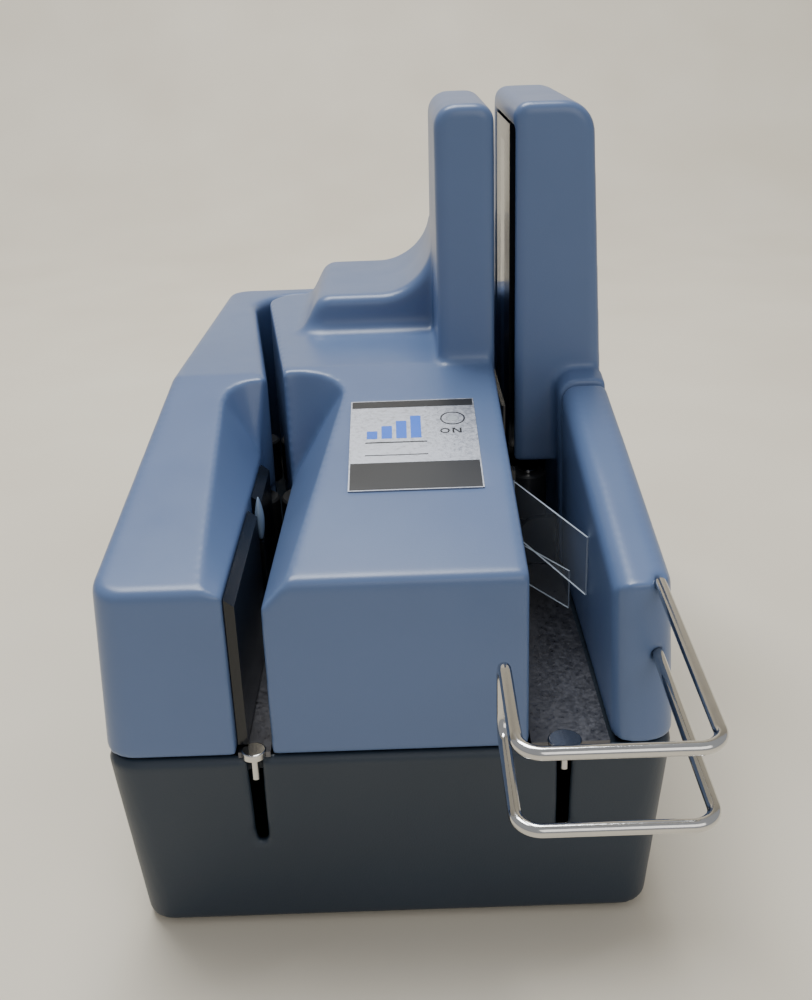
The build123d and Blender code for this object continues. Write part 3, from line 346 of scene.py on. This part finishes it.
def printed(name, outlines, material):
    """Flat printed shapes on the label, each from a closed outline of (u, v) points."""
    grid = bmesh.new()
    low, high = LABEL_LIFT - PRINT_THICKNESS / 2, LABEL_LIFT
    for outline in outlines:
        bottom = [grid.verts.new(on_label(u, v, low)) for u, v in outline]
        top = [grid.verts.new(on_label(u, v, high)) for u, v in outline]
        grid.faces.new(top)
        grid.faces.new(list(reversed(bottom)))
        count = len(outline)
        for i in range(count):
            j = (i + 1) % count
            grid.faces.new((bottom[i], bottom[j], top[j], top[i]))
    add_piece(name, as_mesh(grid, name), "root", material)


def patch(u0, u1, v0, v1):
    return [(u0, v0), (u1, v0), (u1, v1), (u0, v1)]


def ring_parts(u, v, outer, inner, start, end, steps=20):
    """A ring from one angle to another as small four-cornered parts."""
    parts = []
    for i in range(steps):
        a, b = (radians(start + (end - start) * k / steps) for k in (i, i + 1))
        parts.append([(u + inner * cos(a), v + inner * sin(a)), (u + outer * cos(a), v + outer * sin(a)),
                      (u + outer * cos(b), v + outer * sin(b)), (u + inner * cos(b), v + inner * sin(b))])
    return parts


def stroke(u0, v0, u1, v1, width):
    """A straight line of one width between two points."""
    length = ((u1 - u0) ** 2 + (v1 - v0) ** 2) ** 0.5
    du, dv = (v1 - v0) / length * width / 2, (u0 - u1) / length * width / 2
    return [(u0 + du, v0 + dv), (u1 + du, v1 + dv), (u1 - du, v1 - dv), (u0 - du, v0 - dv)]


def make_label(materials):
    """Dark bands above and below a silver field with rising bars, a ring and the word ON."""
    half_u, half_v = (size / 2 - LABEL_MARGIN for size in LABEL_SIZE)
    dark = [patch(-half_u, half_u, half_v - BAND_TOP, half_v)]
    dark.append(patch(-half_u, half_u, -half_v, -half_v + BAND_LOW))
    for low, high in LINE_EDGES:
        dark.append(patch(*LINE_ENDS, low, high))
    dark += ring_parts(*O_PLACE, *O_RADII, 0, 360)
    left = O_PLACE[0] + N_START
    right = left + N_WIDTH
    low, high = O_PLACE[1] - LETTER / 2, O_PLACE[1] + LETTER / 2
    dark.append(stroke(left, low, left, high, UPRIGHT))
    dark.append(stroke(right, low, right, high, UPRIGHT))
    dark.append(stroke(left + SLANT_INSET, high, right - SLANT_INSET, low, SLANT))
    dark += ring_parts(*LIGHT_SPOT, *LIGHT_RADII, 0, 360, 28)
    printed("label_print", dark, materials["label_print"])
    bars = []
    for i, height in enumerate(BAR_HEIGHTS):
        u, v = BAR_START[0] + i * BAR_STEP, BAR_START[1]
        bars.append(patch(u, u + BAR_WIDTH, v, v + height))
    printed("label_bars", bars, materials["label_blue"])


# ---------------------------------------------------------------- pusher's leaf
LEAF_SIDES, LEAF_RINGS = 28, 20
LEAF_FILL = 0.98                    # of the node's box
LEAF_POINT, LEAF_CURVE = 0.45, 1.5  # how much it narrows to the top, and how late


def make_leaf(materials):
    """The pusher's tip: a smooth leaf, pointed above and round below."""
    low, high = (Vector(corner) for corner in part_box("pusher_tip"))
    middle, half = (low + high) / 2, (high - low) / 2
    grid = bmesh.new()
    bmesh.ops.create_uvsphere(grid, u_segments=LEAF_SIDES, v_segments=LEAF_RINGS, radius=1.0)
    for vert in grid.verts:
        x, y, z = vert.co
        width = 1.0 - LEAF_POINT * max(z, 0.0) ** LEAF_CURVE
        vert.co = middle + Vector((x * half.x * LEAF_FILL * width, y * half.y * LEAF_FILL * width,
                                   z * half.z * LEAF_FILL))
    mesh = as_mesh(grid, "pusher_leaf")
    leaf = add_piece("pusher_leaf", mesh, "pusher", materials["leaf_plastic"])
    shade(leaf, LEAF_SHARP)
    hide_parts("pusher_tip")


THIN_SHARE = 0.2                    # of the largest face's area
LEVEL, STEEP = 0.9, 0.5             # a face's upward normal, above and below these


def edge_films(materials):
    """The clear flaps' thin faces catch the light: they get a paler, less clear film, a painted highlight.
    """
    for node in ("upper_flap", "lower_flap"):
        obj = nodes[node]
        obj.data.materials.append(materials["film_edge_highlight"])
        faces = obj.data.polygons
        largest = max(face.area for face in faces)
        for face in faces:
            thin = face.area < largest * THIN_SHARE and abs(face.normal.z) < STEEP
            if abs(face.normal.z) > LEVEL or thin:
                face.material_index = 1


# ---------------------------------------------------------------- stage and light
FLOOR_FRONT, FLOOR_SIDE, FLOOR_TOP = -1.6, 2.5, 2.2
BEND_Y, BEND_RADIUS, BEND_STEPS = 0.75, 0.5, 24
FLOOR_ROUGHNESS = 0.6


def plain_floor():
    """A pale sheet that lies under the object and rises behind it."""
    profile = [(FLOOR_FRONT, 0.0), (BEND_Y, 0.0)]
    for i in range(1, BEND_STEPS + 1):
        a = i / BEND_STEPS * pi / 2
        profile.append((BEND_Y + BEND_RADIUS * sin(a), BEND_RADIUS * (1 - cos(a))))
    profile.append((BEND_Y + BEND_RADIUS, FLOOR_TOP))
    grid = bmesh.new()
    rows = [[grid.verts.new((x, y, z)) for x in (-FLOOR_SIDE, FLOOR_SIDE)] for y, z in profile]
    for low, high in zip(rows, rows[1:]):
        grid.faces.new((low[0], low[1], high[1], high[0]))
    mesh = as_mesh(grid, "floor")
    floor = bpy.data.objects.new("floor", mesh)
    bpy.context.scene.collection.objects.link(floor)
    material, tree, surface = shader("pale_floor")
    tint = ramp(tree, noise(tree, 9, 2.0), [(0.3, (0.70, 0.63, 0.51)), (0.7, (0.75, 0.685, 0.565))])
    tree.links.new(tint, surface.inputs["Base Color"])
    surface.inputs["Roughness"].default_value = FLOOR_ROUGHNESS
    dress(floor, material)
    for face in mesh.polygons:
        face.use_smooth = True


WORLD_COLOUR = (0.92, 0.95, 1.0, 1)
WORLD_STRENGTH = 0.45


def area_light(name, place, target, size, watts, colour):
    """A rectangular lamp that looks at a target."""
    data = bpy.data.lights.new(name, "AREA")
    data.shape = "RECTANGLE"
    data.size = size[0]
    data.size_y = size[1]
    data.energy = watts
    data.color = colour
    lamp = bpy.data.objects.new(name, data)
    lamp.location = place
    lamp.rotation_euler = (Vector(target) - Vector(place)).to_track_quat("-Z", "Y").to_euler()
    bpy.context.scene.collection.objects.link(lamp)


def soft_light():
    """An even room, a broad lamp above and behind, and a weak one in front."""
    world = bpy.data.worlds.new("studio")
    bpy.context.scene.world = world
    world.use_nodes = True
    back = world.node_tree.nodes["Background"]
    back.inputs["Color"].default_value = WORLD_COLOUR
    back.inputs["Strength"].default_value = WORLD_STRENGTH
    area_light("top_light", (-0.2, 0.42, 1.45), (0, 0.02, 0.05), (0.8, 0.6), 25, (0.95, 0.98, 1.0))
    area_light("front_fill", (0.5, -1.2, 0.9), (0, 0, 0.08), (1.2, 0.8), 5, (1.0, 0.97, 0.93))


# ---------------------------------------------------------------- the scene
make_camera()
materials = make_materials()
dress_nodes(materials)
soft_shells(materials)
make_label(materials)
make_leaf(materials)
edge_films(materials)
plain_floor()
soft_light()
